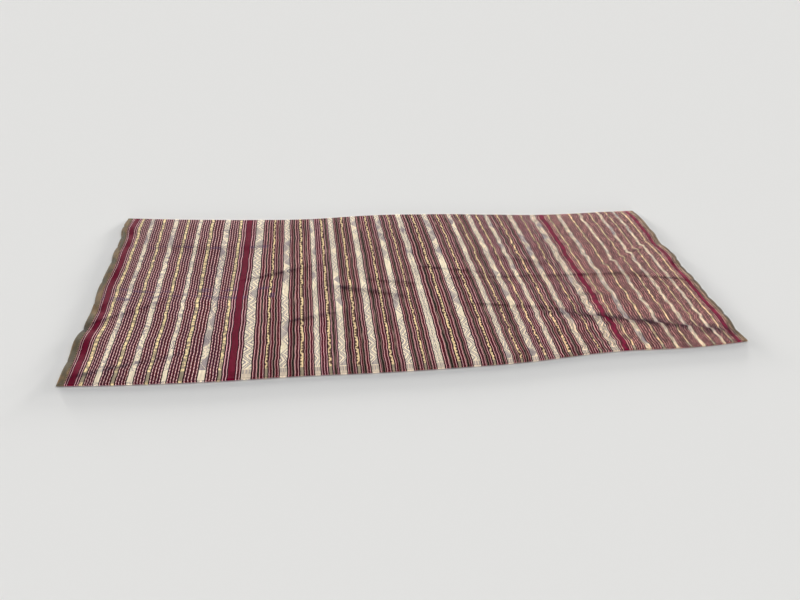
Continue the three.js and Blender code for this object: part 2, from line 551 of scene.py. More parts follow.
def waver(share, x, y):
    """The small side to side waver of the stripes, stronger towards the right end."""
    total = 0
    for long_step, cross_step, left_size, more_right, seed in WAVERS:
        size = left_size + more_right * smoothstep(share, *WAVER_GROWS)
        total = total + size * smooth_noise(x / long_step, y / cross_step, seed)
    return total


def kink(x, y):
    """The sideways jump of the stripes along two creases."""
    total = 0
    for *line, jump, reach in KINKS:
        aside, taper = beside(line, x, y)
        step = np.tanh(aside / KINK_HALF) * np.exp(-np.abs(aside) / reach)
        total = total - jump / 2 * taper * step
    return total


def bulge(share, across):
    """How far the stripes bulge aside."""
    total = 0
    for at_share, at_across, half_share, half_across, shift in BULGES:
        away = ((share - at_share) / half_share) ** 2 + ((across - at_across) / half_across) ** 2
        total = total + shift * np.exp(-away)
    return total


print("at the far fold the stripes drift by up to", max(row[1] for row in STRIPE_DRIFTS), "mm")

# %% [markdown]
# ## From flat cloth to lying cloth
#
# One function moves a place on the loop to where it lies. It is written for whole arrays of places,
# because the cloth needs tens of thousands. Three things are added here: the upper layer ripples at the
# mouths, the folds are pressed together, and the outer edges of the strips are drawn in at their
# notches.

# %% The lying function
# length and height of the ripples at the mouths, how unlike the two mouths are, seed
MOUTH_RIPPLE = (46, 2.2, 2, 47.1)
LOWEST_RIPPLE = -0.6
LOWEST_LIFT = -0.9
# share of its height that a fold loses where it is pressed together, and how far in that reaches
FOLD_PRESS = (0.12, 14.0)
# share across, depth and half width of the places where a strip's outer edge is drawn in
LEFT_NOTCHES = [
    (0.1, 1.5, 0.02), (0.255, 4.5, 0.016), (0.4, 2, 0.02), (0.53, 2, 0.018), (0.66, 2.2, 0.02),
    (0.77, 2.5, 0.014), (0.84, 2.2, 0.012), (0.93, 2.5, 0.014),
]
RIGHT_NOTCHES = [
    (0.062, 3.6, 0.014), (0.156, 5.2, 0.016), (0.21, 2.4, 0.01), (0.271, 3.8, 0.014), (0.33, 2.8, 0.012),
    (0.393, 4, 0.012), (0.45, 3.6, 0.01), (0.5, 3.4, 0.01), (0.55, 3.4, 0.01), (0.616, 3, 0.01),
    (0.68, 1.8, 0.01), (0.75, 2, 0.01), (0.82, 2, 0.012), (0.93, 1.6, 0.012),
]


def notch_depth(rows, across):
    """How far a strip's outer edge is drawn in at a share of the width."""
    return sum(depth * np.exp(-np.abs(across - at) / wide) for at, depth, wide in rows)


def lying_points(along, places, round_off):
    """Metres in the frame for each place along (rows) and round the section (columns)."""
    along = np.asarray(along, float)[:, None]
    across, side, rise = places[None, :, 0], places[None, :, 1], places[None, :, 2]
    share = along / LENGTH
    near = OUTER_ROUND - near_out(share)
    far = WIDTH + far_out(share) - OUTER_ROUND
    y = near + (far - near) * across + side * round_off
    left_pull = 1 - smoothstep(along, LEFT_STRIP, MOUTH_REACH)
    right_pull = 1 - smoothstep(LENGTH - along, RIGHT_STRIP, MOUTH_REACH)
    inner = 1 - left_pull - right_pull
    x = along - left_out(across) * left_pull + right_out(across) * right_pull
    x = x + notch_depth(LEFT_NOTCHES, across) * np.clip(1 - along / LEFT_STRIP, 0, 1)
    x = x - notch_depth(RIGHT_NOTCHES, across) * np.clip(1 - (LENGTH - along) / RIGHT_STRIP, 0, 1)
    aside = drift(share, across) + bulge(share, across)
    x = x + inner * (aside + waver(share, x, y) + kink(x, y))
    upper = (1 + rise) / 2
    lift = ridge_lift(x, y) + crumple_lift(x, y)
    mouth = np.maximum(left_pull, right_pull)
    ripple_step, ripple_height, change, seed = MOUTH_RIPPLE
    ripple = ripple_height * smooth_noise(share * change, y / ripple_step, seed)
    lift = lift + mouth**2 * np.maximum(ripple, LOWEST_RIPPLE)
    z = OUTER_ROUND + rise * round_off + upper * np.maximum(lift, LOWEST_LIFT)
    to_fold = np.minimum(across, 1 - across) * WIDTH
    z = z * (1 - FOLD_PRESS[0] * np.exp(-((to_fold / FOLD_PRESS[1]) ** 2)))
    return np.stack(np.broadcast_arrays(x - ORIGIN[0], y - ORIGIN[1], z), axis=-1) * MM


print(len(LEFT_NOTCHES), "notches at the left mouth,", len(RIGHT_NOTCHES), "at the right one")

# %% [markdown]
# ## Two maps for a sleeve
#
# A finish has to know where it is on the cloth, so two UV maps go with every sleeve. "Flat" holds each
# corner's place on the flat cloth in metres, and the stripes are drawn in it. "OFBake" gives every face
# a spot of its own in the square: the two halves of the length lie in two rows, and the upper layer has
# most of each row.

# %% Map helpers
# heights in one row of the square, the margin at its sides, and where the second row starts
BAKE_BANDS = {"top": (0.004, 0.40), "under": (0.41, 0.455), "inside": (0.465, 0.495)}
BAKE_MARGIN = 0.004
SECOND_ROW = 0.5


def add_maps(mesh, along, inner_step, places, first_inner):
    """The two UV maps of a sleeve."""
    corner = np.empty(len(mesh.loops), int)
    mesh.loops.foreach_get("vertex_index", corner)
    corner = corner.reshape(-1, 4)
    inside = corner >= first_inner
    columns = len(places)
    row = np.where(inside, (corner - first_inner) // columns * inner_step, corner // columns)
    column = np.where(inside, corner - first_inner, corner) % columns
    along_at = np.asarray(along, float)[np.minimum(row, len(along) - 1)]
    round_at = places[column, 3]
    wraps = (column.min(1) == 0) & (column.max(1) == columns - 1)
    round_at = np.where(wraps[:, None] & (column == 0), ROUND_LENGTH, round_at)
    flat = mesh.uv_layers.new(name="Flat")
    flat.uv.foreach_set("vector", (np.stack((along_at, round_at), -1) * MM).astype(np.float32).ravel())
    bake = mesh.uv_layers.new(name="OFBake")
    spots = bake_spots(along_at, round_at, inside)
    bake.uv.foreach_set("vector", spots.astype(np.float32).ravel())


def bake_spots(along_at, round_at, inside):
    """A spot in the square for each corner: two rows for the two halves of the length."""
    low, high = along_at.min(), along_at.max()
    middle = (low + high) / 2
    right_half = along_at.mean(1, keepdims=True) > middle
    start = np.where(right_half, middle, low)
    u = BAKE_MARGIN + (1 - 2 * BAKE_MARGIN) * (along_at - start) / (middle - low)
    half_round = WIDTH + FOLD_LENGTH
    turned = round_at.mean(1, keepdims=True) > half_round
    share = np.where(turned, round_at - half_round, round_at) / half_round
    kind_low = np.where(turned, BAKE_BANDS["under"][0], BAKE_BANDS["top"][0])
    kind_high = np.where(turned, BAKE_BANDS["under"][1], BAKE_BANDS["top"][1])
    v = kind_low + (kind_high - kind_low) * share
    hidden = inside.any(1, keepdims=True)
    low_in, high_in = BAKE_BANDS["inside"]
    v = np.where(hidden, low_in + (high_in - low_in) * round_at / ROUND_LENGTH, v)
    return np.stack((u, v + np.where(right_half, SECOND_ROW, 0)), -1)


print("maps:", list(BAKE_BANDS))

# %% [markdown]
# ## The mesh of a sleeve
#
# A sleeve is a closed mesh: an outer skin, an inner skin and a rim at each mouth. A Solidify modifier
# could make the inner skin, but with as many faces as the outer one. The outer skin is fine, since it
# shows. The inner skin takes every sixth row, which saves faces where nobody looks.

# %% Mesh helpers


def skin_faces(rows, columns, first, outward):
    """Quads over a grid that closes on itself round the section."""
    i, j = np.meshgrid(np.arange(rows - 1), np.arange(columns), indexing="ij")
    after = (j + 1) % columns
    here, ahead = i * columns, (i + 1) * columns
    quads = np.stack((here + j, ahead + j, ahead + after, here + after), -1)
    quads = quads.reshape(-1, 4) + first
    return quads if outward else quads[:, ::-1]


def rim_faces(outer_row, inner_row, outward):
    """Quads that join the outer and the inner skin at a mouth."""
    after = np.roll(np.arange(len(outer_row)), -1)
    quads = np.stack((outer_row, outer_row[after], inner_row[after], inner_row), -1)
    return quads if outward else quads[:, ::-1]


def sleeve(name, along, inner_step, places):
    """A closed sleeve through the places along. Returns the object."""
    outer = lying_points(along, places, OUTER_ROUND)
    inner = lying_points(along[::inner_step], places, INNER_ROUND)
    columns = len(places)
    first_inner = outer.shape[0] * columns
    faces = [skin_faces(outer.shape[0], columns, 0, True)]
    faces.append(skin_faces(inner.shape[0], columns, first_inner, False))
    ring = np.arange(columns)
    last_outer = (outer.shape[0] - 1) * columns
    last_inner = first_inner + (inner.shape[0] - 1) * columns
    faces.append(rim_faces(ring, ring + first_inner, True))
    faces.append(rim_faces(ring + last_outer, ring + last_inner, False))
    mesh = bpy.data.meshes.new(name)
    points = np.concatenate((outer.reshape(-1, 3), inner.reshape(-1, 3)))
    mesh.from_pydata(points.tolist(), [], np.concatenate(faces).tolist())
    add_maps(mesh, along, inner_step, places, first_inner)
    mesh.shade_smooth()
    return add_object(name, mesh)


print("sleeves are ready to be laid")

# %% [markdown]
# ## The woven tube
#
# The tube is one sleeve. Its upper layer has most of the steps round the section, since the creases are
# there. Once it lies, each point keeps how dark the painted crease shade is there as a mesh attribute.
# A material can read that with an Attribute node, so the painted dark lines follow the ridges without a
# picture.

# %% Lay the woven tube
CLOTH_ROWS = 198
INNER_STEP = 6
CLOTH_PLACES = section(top_steps=372, under_steps=24, fold_steps=6)
cloth_from = LEFT_STRIP + SEAM_GAP / 2
cloth_to = LENGTH - RIGHT_STRIP - SEAM_GAP / 2
cloth_along = np.linspace(cloth_from, cloth_to, CLOTH_ROWS + 1)
tube = sleeve("woven_tube_cloth", cloth_along, INNER_STEP, CLOTH_PLACES)


def keep_on_mesh(made, name, values):
    """Keeps a number for each point of a mesh, for a finish to read."""
    kept = made.data.attributes.new(name, "FLOAT", "POINT")
    kept.data.foreach_set("value", values.astype(np.float32))


def keep_ridge_shade(made, places):
    """Keeps how dark the painted shade in the creases of the upper layer is."""
    spots = np.empty(len(made.data.vertices) * 3, np.float32)
    made.data.vertices.foreach_get("co", spots)
    x, y = spots.reshape(-1, 3).T[:2] / MM
    upper = np.tile(places[:, 2] > 0.5, len(x) // len(places))
    # the painted crease shade, kept on the upper layer for the material
    keep_on_mesh(made, "crease_shading", shade_down_ridges(x + ORIGIN[0], y + ORIGIN[1]) * upper)


keep_ridge_shade(tube, CLOTH_PLACES)
print("tube:", len(tube.data.vertices), "points", len(tube.data.polygons), "faces", tube.dimensions[:])

# %% [markdown]
# ## The stripe chart
#
# A weaver plans stripes as a list: so much of this yarn, then so much of that. The chart below is such
# a list, from an end strip to the middle of the skirt, and the other half is its mirror. Each row is a
# band and the gap after it. A gap is maroon with a number of dashed pink lines. In the middle panel
# each gap also has a dark stripe, given by where it starts in the gap and how wide it is. All widths
# are in millimetres. The weaver left two of the dark stripes out on the right side.

# %% The chart
# band, band width, grey share, gap width, pink lines, dark stripe from, dark stripe width
HALF_CHART = [
    ("start", 0, 0, 6.05, 2, 0, 0),
    ("burgundy", 8.6, 0, 7.6, 2, 0, 0),
    ("yellow", 6.6, 0.30, 15.6, 4, 0, 0),
    ("cream", 8.1, 0.18, 18.0, 4, 0, 0),
    ("yellow", 5.7, 0.40, 17.6, 4, 0, 0),
    ("cream", 9.1, 0.24, 18.1, 4, 0, 0),
    ("yellow", 5.5, 0.50, 19.0, 4, 0, 0),
    ("cream", 7.2, 0.20, 18.5, 4, 0, 0),
    ("yellow", 6.6, 0.60, 21.9, 4, 0, 0),
    ("cream", 11.5, 0.58, 19.5, 4, 0, 0),
    ("yellow", 6.0, 0.56, 10.0, 2, 0, 0),
    ("burgundy", 10.7, 0, 10.3, 2, 0, 0),
    ("cream", 16.4, 0.62, 21.8, 4, 9.5, 3.3),
    ("yellow", 4.9, 0.56, 19.8, 4, 8.0, 3.7),
    ("cream", 12.9, 0.50, 21.5, 4, 8.1, 3.9),
    ("yellow", 6.1, 0.56, 18.1, 4, 7.0, 3.3),
    ("cream", 9.8, 0.44, 14.2, 3, 0, 0),
    ("yellow", 6.0, 0.60, 12.5, 3, 4.0, 3.3),
    ("cream", 12.5, 0.46, 17.3, 4, 6.4, 4.1),
    ("yellow", 6.0, 0.58, 18.1, 4, 6.3, 3.5),
    ("cream", 13.0, 0.46, 21.5, 4, 5.7, 3.9),
    ("yellow", 5.1, 0.56, 19.8, 4, 7.1, 3.1),
    ("cream", 13.0, 0.48, 19.8, 4, 6.7, 3.7),
    ("yellow", 5.1, 0.56, 19.0, 4, 6.8, 3.7),
    ("cream", 5.6, 0.46, 0, 0, 0, 0),
]
# millimetres along of the dark stripes that were left out, and half the stretch without them
DARK_LEFT_OUT = [(803.0, 8.0), (907.0, 8.0)]
HALF_LENGTH = LENGTH / 2 - LEFT_STRIP
CHART_LENGTH = sum(row[1] + row[3] for row in HALF_CHART)
CHART_SCALE = HALF_LENGTH / CHART_LENGTH
MIDDLE_PANEL_FROM = 262.0
# share of a band's width that its own yarn fills, between ground threads at its sides
BAND_CORE = {"burgundy": 1.0, "yellow": 0.82, "cream": 0.93}
# pale threads beside a dark stripe, and darker ground at the sides of a gap
PALE_EDGE = 0.65
GAP_BORDER = 1.8

DYES = {
    "maroon": linear(38, 3, 13),
    "purple": linear(46, 8, 28),
    "crimson": linear(82, 10, 26),
    "plum": linear(76, 26, 38),
    "mauve": linear(74, 10, 24),
    "violet": linear(66, 11, 34),
    "faded_mauve": linear(80, 35, 43),
    "burgundy": linear(108, 2, 39),
    "faded_burgundy": linear(122, 3, 48),
    "pink": linear(255, 202, 200),
    "pale_pink": linear(250, 188, 188),
    "white_pink": linear(255, 194, 200),
    "faded_pink": linear(250, 180, 170),
    "brown_edge": linear(124, 96, 78),
    "cream": linear(252, 236, 208),
    "warm_cream": linear(255, 240, 210),
    "faded_cream": linear(238, 214, 182),
    "plain_cream": linear(226, 208, 186),
    "grey": linear(138, 126, 136),
    "yellow": linear(250, 226, 172),
    "gold": linear(250, 223, 170),
    "faded_yellow": linear(244, 207, 162),
    "olive": linear(104, 78, 64),
    "worn_olive": linear(58, 22, 22),
    "dull_yellow": linear(148, 130, 114),
    "plain_olive": linear(162, 148, 124),
    "dark_olive": linear(28, 24, 15),
    "pale_olive": linear(186, 150, 138),
    "bluish_tint": linear(70, 52, 92),
}
print("chart:", len(HALF_CHART), "rows,", round(CHART_LENGTH, 1), "mm stretched by", round(CHART_SCALE, 4))

# %% [markdown]
# ## Reading the chart with nodes
#
# A colour ramp could hold the stripes, but it is stored as 256 steps, which is too coarse for lines of
# a millimetre. Math nodes are exact. For each row a Compare node says whether a place is inside the
# band, and the masks of like bands are added up. The place inside the band, from 0 at one side to 1 at
# the other, is added up in the same way, so one set of figure nodes can serve all the cream bands.

# %% Masks for bands, lines and dark stripes
# how far the figures of each band are moved on from the last one's, in repeats
TURN_STEP = 0.37
MOST_WHOLE_LINES = 3
MASKS = ("burgundy", "yellow", "cream", "gap", "inner", "dark", "dark_edge", "solid")
VALUES = ("share", "line", "turn", "grey")


def read_chart(place, nothing):
    """Masks and values for a wire that holds millimetres from the end strip."""
    found = {name: nothing for name in MASKS + VALUES}

    def add(name, mask, value=1):
        found[name] = mask.maths("MULTIPLY_ADD", value, found[name])

    at = 0
    for number, (band, wide, grey, gap, lines, dark_from, dark_wide) in enumerate(HALF_CHART):
        wide, gap = wide * CHART_SCALE, gap * CHART_SCALE
        if wide:
            inside = place.maths("COMPARE", at + wide / 2, wide * BAND_CORE[band] / 2)
            add(band, inside)
            add("share", inside, (place - at) / wide)
            add("turn", inside, number * TURN_STEP % 1)
            add("grey", inside, grey)
        at += wide
        if gap:
            inside = place.maths("COMPARE", at + gap / 2, gap / 2)
            add("gap", inside)
            add("inner", place.maths("COMPARE", at + gap / 2, gap / 2 - GAP_BORDER))
            add("line", inside, (place - at) * (lines / gap))
            if lines <= MOST_WHOLE_LINES:
                add("solid", inside)
        if dark_wide:
            middle = at + (dark_from + dark_wide / 2) * CHART_SCALE
            add("dark", place.maths("COMPARE", middle, dark_wide / 2))
            add("dark_edge", place.maths("COMPARE", middle, dark_wide / 2 + PALE_EDGE))
        at += gap
    return found


print("masks:", MASKS, "values:", VALUES)

# %% [markdown]
# ## Figures and dashes
#
# The pink lines of the outer panels are lightly dashed, because their yarn dives under the others at
# even steps, and each line is a part of a step behind its neighbour. Beside the burgundy bands and in
# the middle panel they are whole.
#
# A cream band is crossed by a cream zigzag, which cuts its ground into triangles. Some triangles are
# grey all over, some are hatched with cream lines that follow the zigzag, and a few are left cream. A
# White Noise node gives each triangle its own number, and the number decides. The yellow bands of the
# middle panel are rows of small yellow and olive triangles. In the outer panels they are plainer, with
# dull patches, and towards the right end they are thin.

# %% Functions for the figures
# dashes: length of a step, share of it that shows, what shows between, how far each line lags
DASH_STEP = 8.5
DASH_SHARE = 0.68
DASH_DIM = 0.3
DASH_LAG = 0.35
# half widths of the pink lines, as shares of the space that each line has
LINE_SHARE = 0.115
FADED_LINE_SHARE = 0.008
MIDDLE_LINE_SHARE = 0.078
# triangles of the cream bands
CREAM_STEP = 38.0
ZIGZAG_HALF = 0.06
HATCH_LINES = 1.9
HATCH_SHARE = 0.4
HATCH_GREY = 0.95
WHOLE_GREY = 0.85
WHOLE_SHARE = 0.34
MIDDLE_HATCH = 0.35
# triangles of the yellow bands: step, slope of their sides, and what their size is made of
YELLOW_STEP = 8.5
YELLOW_SLOPE = 0.6
YELLOW_CHANCE = 0.5
YELLOW_LEAST = 0.36
YELLOW_GROWTH = 0.6
# what sets the chance numbers and the noise of one band apart from the next one's
CHANCE_APART = 50
PATCH_APART = 90
PATCH_ACROSS = 0.8


def zigzag(turns):
    """1 to 0 and back to 1 in each turn."""
    return abs(turns.maths("FRACT") * 2 - 1)


def chance(number):
    """A chance value between 0 and 1, the same wherever the number is the same."""
    return number.node("ShaderNodeTexWhiteNoise", {"noise_dimensions": "1D"}, {"W": number})


def pink_lines(chart, around, middle_panel, faded):
    """How much a place shows of the pink lines, from 0 to 1."""
    half = LINE_SHARE - (LINE_SHARE - MIDDLE_LINE_SHARE) * middle_panel
    half = half + faded * (1 - middle_panel) * FADED_LINE_SHARE
    in_line = abs(chart["line"].maths("FRACT") - 0.5) < half
    number = chart["line"].maths("FLOOR")
    dash = (around / DASH_STEP + number * DASH_LAG).maths("FRACT") < DASH_SHARE
    whole = chart["solid"].maths("MAXIMUM", middle_panel)
    return chart["gap"] * in_line * (dash * (1 - DASH_DIM) + DASH_DIM).maths("MAXIMUM", whole)


def triangles(chart, around, middle_panel):
    """How grey a cream band's ground is, from 0 to 1."""
    own = (1 - middle_panel) * chart["turn"]
    turns = around / CREAM_STEP + own
    aside = chart["share"] - zigzag(turns)
    right = aside > 0
    left_number = (turns + 0.5).maths("FLOOR") + 0.5
    number = right * turns.maths("FLOOR") + (1 - right) * left_number
    luck = chance(number + chart["turn"] * CHANCE_APART)
    whole = luck < chart["grey"] * WHOLE_SHARE
    lined = luck < chart["grey"] + middle_panel * MIDDLE_HATCH
    hatched = ((abs(aside) * HATCH_LINES).maths("FRACT") < HATCH_SHARE) * lined
    return (abs(aside) > ZIGZAG_HALF) * (whole * WHOLE_GREY).maths("MAXIMUM", hatched * HATCH_GREY)


def small_triangles(chart, around):
    """1 where a yellow band shows its olive ground."""
    turns = around / YELLOW_STEP + chart["turn"]
    luck = chance(turns.maths("FLOOR") + chart["turn"] * CHANCE_APART)
    side = abs((luck > 0.5) - chart["share"])
    size = luck * YELLOW_CHANCE + YELLOW_LEAST - chart["grey"] * YELLOW_GROWTH
    return side > zigzag(turns) * YELLOW_SLOPE + size


def patches(chart, around, step):
    """Noise that is smooth inside one band and different in the next."""
    sideways = chart["share"] * PATCH_ACROSS + chart["turn"] * PATCH_APART
    where = around.node("ShaderNodeCombineXYZ", {}, {"X": sideways, "Y": around / step})
    inputs = {"Vector": where, "Scale": 1.0, "Detail": 1.0}
    return around.node("ShaderNodeTexNoise", {"noise_dimensions": "2D"}, inputs)


print("figures are ready")

# %% [markdown]
# ## Where a place is on the cloth
#
# The finish asks the same few things at every place: how far along and round the flat cloth it is, how
# faded it is, and which band it is in. They are found once and kept together under one name, `cloth`.
# Noise is used for most of the unevenness, so its sizes are listed in one table. It is drawn out along
# the stripes, because no two skeins take the dye alike.

# %% Noise sizes and the cloth's own places
# millimetres along and round the cloth, and how fine the noise goes
GRAINS = {
    "bend": (60, 18, 1.0),
    "jitter": (14, 7, 1.0),
    "uneven_figures": (30, 22, 1.0),
    "specks": (2.6, 3.6, 1.0),
    "worn_figures": (14, 30, 2.0),
    "dye_lot": (9, 120, 1.0),
    "broken_stripes": (3, 60, 2.0),
    "mark_wander": (90, 400, 1.0),
    "mark_patches": (45, 20, 2.0),
    "speckle": (5, 15, 1.0),
    "threads": (1.3, 45, 2.0),
    "skeins": (3.4, 50, 1.0),
    "broad_shade": (80, 160, 2.0),
    "crease_ticks": (5, 90, 1.0),
    "lint": (2, 2, 3.0),
    "sheen": (6, 6, 2.0),
    "strip_fading": (14, 34, 2.0),
    "strip_dirt": (9, 12, 1.0),
    "strip_threads": (0.9, 7, 2.0),
    "strip_lint": (3, 3, 1.0),
}
FADED_FROM = 640.0
FADED_TO = 1000.0


def flat_place(wire):
    """Millimetres along and round the flat cloth, and the noise made on them."""
    flat = wire.node("ShaderNodeUVMap", {"uv_map": "Flat"})
    along = wire.node("ShaderNodeSeparateXYZ", {}, {"Vector": flat}, output="X") * (1 / MM)
    around = wire.node("ShaderNodeSeparateXYZ", {}, {"Vector": flat}, output="Y") * (1 / MM)

    def grain(name):
        along_step, around_step, detail = GRAINS[name]
        where = wire.node("ShaderNodeCombineXYZ", {}, {"X": along / along_step, "Y": around / around_step})
        inputs = {"Vector": where, "Scale": 1.0, "Detail": detail}
        return wire.node("ShaderNodeTexNoise", {"noise_dimensions": "2D"}, inputs)

    return along, around, grain


def read_cloth(wire):
    """Where a place is, how faded it is, and what the chart says there."""
    along, around, grain = flat_place(wire)
    cloth = SimpleNamespace(wire=wire, along=along, around=around, grain=grain)
    cloth.faded = along.smooth(FADED_FROM, FADED_TO)
    jitter = (grain("jitter") - 0.5) * (cloth.faded * 1.6 + 0.8)
    waver = (grain("bend") - 0.5) * 1.2 + jitter
    cloth.place = HALF_LENGTH - abs(along + waver - LENGTH / 2)
    cloth.chart = read_chart(cloth.place, along * 0)
    cloth.middle_panel = cloth.place > MIDDLE_PANEL_FROM
    cloth.from_fold = around - (around > ROUND_LENGTH * 0.75) * ROUND_LENGTH
    cloth.uneven = around + (grain("uneven_figures") - 0.5) * 9
    return cloth


print(len(GRAINS), "noises are listed")

# %% [markdown]
# ## The ground, the pink lines and the dark stripes
#
# The colour is built up as yarn is: first the maroon ground, lighter inside the gaps than beside the
# bands, then the pink lines over it, then the dark stripes with a pale thread on each side. Each yarn
# is laid over the last one through its mask. To the right the skirt has faded, so most dyes have a
# faded one beside them.

# %% Ground, lines and dark stripes
# brown threads beside the end strips, in millimetres, and more of them at the right end
BROWN_EDGE = 0.4
MORE_BROWN_EDGE = 2.6
PALE_EDGE_STRENGTH = 0.8


def ground_yarn(cloth):
    chart, faded, middle_panel = cloth.chart, cloth.faded, cloth.middle_panel
    dye_lot = cloth.grain("dye_lot").smooth(0.35, 0.65)
    inner = faded.blend(dye_lot.blend(DYES["mauve"], DYES["violet"]), DYES["faded_mauve"])
    inner = middle_panel.blend(inner, dye_lot.blend(DYES["crimson"], DYES["plum"]))
    ground = chart["inner"].blend(dye_lot.blend(DYES["maroon"], DYES["purple"]), inner)
    line_dye = faded.blend(DYES["pink"], DYES["faded_pink"])
    line_dye = middle_panel.blend(line_dye, DYES["pale_pink"])
    line_dye = (chart["solid"] * (1 - faded)).blend(line_dye, DYES["white_pink"])
    colour = pink_lines(chart, cloth.around, middle_panel, faded).blend(ground, line_dye)
    return (cloth.place < faded * MORE_BROWN_EDGE + BROWN_EDGE).blend(colour, DYES["brown_edge"])


def dark_stripes(cloth, colour):
    kept = 1
    for at, half in DARK_LEFT_OUT:
        kept = kept - cloth.along.maths("COMPARE", at, half)
    broken = cloth.grain("broken_stripes").smooth(0.2, 0.4)
    pale = cloth.chart["dark_edge"] * kept * PALE_EDGE_STRENGTH
    colour = pale.blend(colour, DYES["pale_olive"])
    return (cloth.chart["dark"] * kept * broken).blend(colour, DYES["dark_olive"])


print("ground, lines and dark stripes are ready")

# %% [markdown]
# ## The figured bands
#
# The cream and yellow bands carry the figures. Just short of the near fold the figures stop at a cross
# line, and a plain stretch follows, as it does beside the join of such a tube. The line isn't square to
# the stripes, so its distance from the fold is the greater of two slopes along the skirt.

# %% Cream and yellow bands
# the cross line: millimetres from the near fold at the left end, and how fast that changes along the skirt
LEFT_CROSS_LINE = (30.0, 0.0256)
RIGHT_CROSS_LINE = (1.94, 0.0104)
CROSS_LINE = 1.6
PLAIN_STRETCH = 25.0
# grey strokes on the plain stretch: number, half width, middle and reach past the cross line, strength
STROKES = (3, 0.22, 8, 5, 0.6)


def near_fold_ends(cloth):
    """Masks of the plain ends of the figured bands: all of it, its cross lines and its grey strokes."""
    left = LEFT_CROSS_LINE[0] - cloth.along * LEFT_CROSS_LINE[1]
    right = cloth.along * RIGHT_CROSS_LINE[1] + RIGHT_CROSS_LINE[0]
    past = left.maths("MAXIMUM", right) - cloth.from_fold
    plain = (past > 0) * (past < PLAIN_STRETCH)
    cross_line = (past > 0) * (past < CROSS_LINE)
    number, half, middle, reach, strength = STROKES
    strokes = abs((cloth.chart["share"] * number).maths("FRACT") - 0.5) < half
    return plain, cross_line, strokes * (abs(past - middle) < reach) * strength


def cream_yarn(cloth, plain, strokes):
    chart, grain, faded, middle_panel = cloth.chart, cloth.grain, cloth.faded, cloth.middle_panel
    patch = patches(chart, cloth.around, 9).smooth(0.57, 0.62) * (1 - middle_panel) * (0.8 - faded * 0.3)
    speck = grain("specks").smooth(0.5, 0.62) * (0.7 - middle_panel * 0.4)
    figures = triangles(chart, cloth.uneven, middle_panel).maths("MAXIMUM", patch).maths("MAXIMUM", speck)
    wear_and_shade = grain("worn_figures").smooth(0.3, 0.7) * 0.3 + 0.7
    cream = middle_panel.blend(DYES["cream"], DYES["warm_cream"])
    cream = faded.blend(cream, DYES["faded_cream"])
    cream = (plain * middle_panel).blend(cream, DYES["plain_cream"])
    return (figures * wear_and_shade * (1 - plain) + plain * middle_panel * strokes).blend(cream, DYES["grey"])


def yellow_yarn(cloth, plain, cross_line):
    chart, faded, middle_panel = cloth.chart, cloth.faded, cloth.middle_panel
    dull = patches(chart, cloth.around, 6).smooth(0.42, 0.56) * (1 - middle_panel * 0.75 - faded * 0.25)
    dull = dull * (chart["grey"] * 0.6 + 0.55)
    thin = abs(chart["share"] - 0.5) + (patches(chart, cloth.around, 7) - 0.5) * 0.35 > 0.34
    olive = middle_panel * small_triangles(chart, cloth.uneven) + (1 - middle_panel) * thin * faded
    yellow = faded.blend(middle_panel.blend(DYES["yellow"], DYES["gold"]), DYES["faded_yellow"])
    yellow = (dull * (1 - plain)).blend(yellow, DYES["dull_yellow"])
    yellow = (olive * (1 - plain)).blend(yellow, faded.blend(DYES["olive"], DYES["worn_olive"]))
    return (plain * (1 - cross_line)).blend(yellow, DYES["plain_olive"])


print("figured bands are ready")

# %% [markdown]
# ## Age and painted crease shade
#
# An old cloth is never one even colour. Threads and skeins differ, and the faded side is speckled. A
# few bluish bands lie along the cloth at given distances from the near fold. The creases get painted
# shade: they are darkened, less on the cream bands than on the rest, and a little bluish. All but the
# bluish bands only make the colour lighter or darker, so they are one shade that it is multiplied by.

# %% Bluish bands and painted crease shade
# millimetres from the near fold of the bluish bands, and half how wide they are
BLUISH_BAND_ROWS = [(236.0, 8.0), (262.0, 6.0), (424.0, 6.0)]
MARKS_END = 330.0
MARK_WANDER = 16.0
MARK_STRENGTH = 0.45
# how much the painted crease shade darkens red and green, how much it darkens blue, and how much less on
# cream
CREASE_DARK = 0.78
CREASE_BLUE = 0.64
CREAM_SPARED = 0.32


# bluish bands laid over the colour at given distances from the near fold
def bluish_bands(cloth, colour):
    marks = cloth.along * 0
    wander = cloth.from_fold + (cloth.grain("mark_wander") - 0.5) * MARK_WANDER
    for at, half in BLUISH_BAND_ROWS:
        marks = marks + wander.maths("COMPARE", at, half)
    marks = marks * cloth.grain("mark_patches").smooth(0.45, 0.65) * (cloth.along < MARKS_END)
    marks = marks * (1 - cloth.chart["burgundy"])
    return (marks * MARK_STRENGTH).blend(colour, DYES["bluish_tint"])


def streaks_and_painted_shade(cloth):
    """What the colour is multiplied by: uneven threads, skeins and speckles, and painted shade in the
    creases.
    """
    grain, cream = cloth.grain, cloth.chart["cream"]
    speckle = (grain("speckle").smooth(0.4, 0.6) - 0.5) * (cloth.faded * 0.6 + 0.14)
    speckle = speckle * (1 - cream * 0.35)
    streaks = grain("threads") * 0.4 + grain("skeins") * 0.3 + grain("broad_shade") * 0.24 + 0.43 + speckle
    # painted shade in the creases, read from the mesh
    crease_shading = cloth.wire.node("ShaderNodeAttribute", {"attribute_name": "crease_shading"}, {}, output="Fac")
    crease_shading = crease_shading * (grain("crease_ticks").smooth(0.46, 0.52) * 0.6 + 0.4)
    dark = streaks * (1 - crease_shading * (CREASE_DARK - cream * CREAM_SPARED))
    blue = streaks * (1 - crease_shading * (CREASE_BLUE - cream * CREAM_SPARED))
    return cloth.wire.node("ShaderNodeCombineXYZ", {}, {"X": dark, "Y": dark, "Z": blue})


# the storage marks in this print are the bluish bands
print(len(BLUISH_BAND_ROWS), "storage marks")

